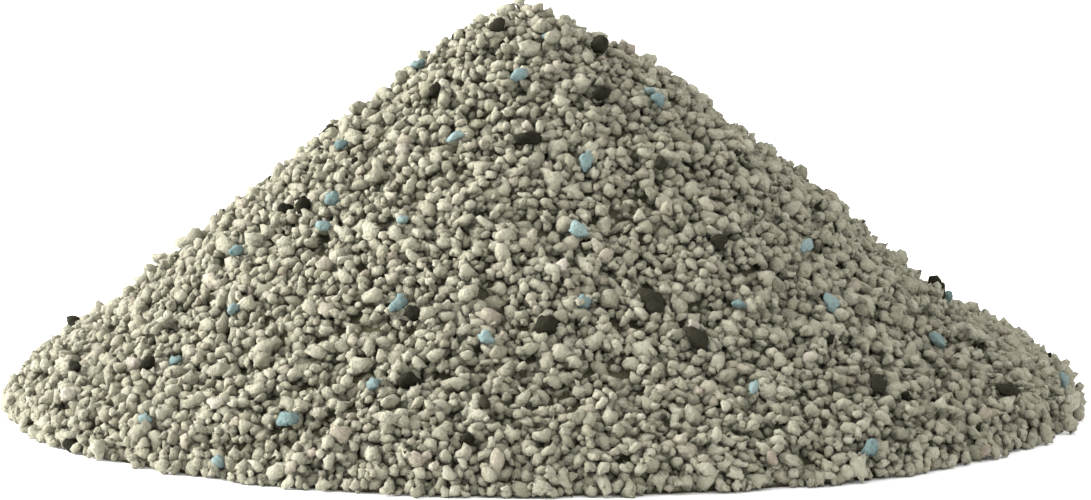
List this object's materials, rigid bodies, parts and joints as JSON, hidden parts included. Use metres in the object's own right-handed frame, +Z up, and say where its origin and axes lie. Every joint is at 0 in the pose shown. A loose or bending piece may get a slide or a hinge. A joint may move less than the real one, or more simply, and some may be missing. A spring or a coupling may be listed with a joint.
{
  "type": "cat litter heap",
  "caption": "Poured conical heap of granular clay cat litter, with blue, charcoal and pale granules lying among the grey ones.",
  "frame": {"origin": "on the resting surface, under the middle of the heap's foot", "axes": "+Z up along the height, +X to the right as seen from the front, front towards -Y; the peak leans a few millimetres towards -X"},
  "size_m": [0.1998, 0.2002, 0.0742],
  "materials": {
    "grey_clay": "matte",
    "blue_additive": "matte",
    "charcoal_mineral": "matte",
    "pale_clay": "matte"
  },
  "bodies": {
    "root": {"blue_granule_01": "blue_additive", "blue_granule_02": "blue_additive", "blue_granule_03": "blue_additive", "blue_granule_04": "blue_additive", "blue_granule_05": "blue_additive", "blue_granule_06": "blue_additive", "blue_granule_07": "blue_additive", "blue_granule_08": "blue_additive", "blue_granule_09": "blue_additive", "blue_granule_10": "blue_additive", "blue_granule_11": "blue_additive", "blue_granule_12": "blue_additive", "blue_granule_13": "blue_additive", "blue_granule_14": "blue_additive", "blue_granule_15": "blue_additive", "blue_granule_16": "blue_additive", "blue_granule_17": "blue_additive", "blue_granule_18": "blue_additive", "blue_granule_19": "blue_additive", "blue_granule_20": "blue_additive", "blue_granule_21": "blue_additive", "blue_granule_22": "blue_additive", "blue_granule_23": "blue_additive", "blue_granule_24": "blue_additive", "blue_granule_25": "blue_additive", "blue_granule_26": "blue_additive", "blue_granule_27": "blue_additive", "blue_granule_28": "blue_additive", "blue_granule_29": "blue_additive", "dark_granule_01": "charcoal_mineral", "dark_granule_02": "charcoal_mineral", "dark_granule_03": "charcoal_mineral", "dark_granule_04": "charcoal_mineral", "dark_granule_05": "charcoal_mineral", "dark_granule_06": "charcoal_mineral", "dark_granule_07": "charcoal_mineral", "dark_granule_08": "charcoal_mineral", "dark_granule_09": "charcoal_mineral", "dark_granule_10": "charcoal_mineral", "dark_granule_11": "charcoal_mineral", "dark_granule_12": "charcoal_mineral", "dark_granule_13": "charcoal_mineral", "dark_granule_14": "charcoal_mineral", "dark_granule_15": "charcoal_mineral", "dark_granule_16": "charcoal_mineral", "dark_granule_17": "charcoal_mineral", "dark_granule_18": "charcoal_mineral", "dark_granule_19": "charcoal_mineral", "dark_granule_20": "charcoal_mineral", "dark_granule_21": "charcoal_mineral", "litter_heap": "grey_clay", "pale_granule_01": "pale_clay", "pale_granule_02": "pale_clay", "pale_granule_03": "pale_clay", "pale_granule_04": "pale_clay", "pale_granule_05": "pale_clay", "pale_granule_06": "pale_clay", "pale_granule_07": "pale_clay"}
  },
  "joints": []
}
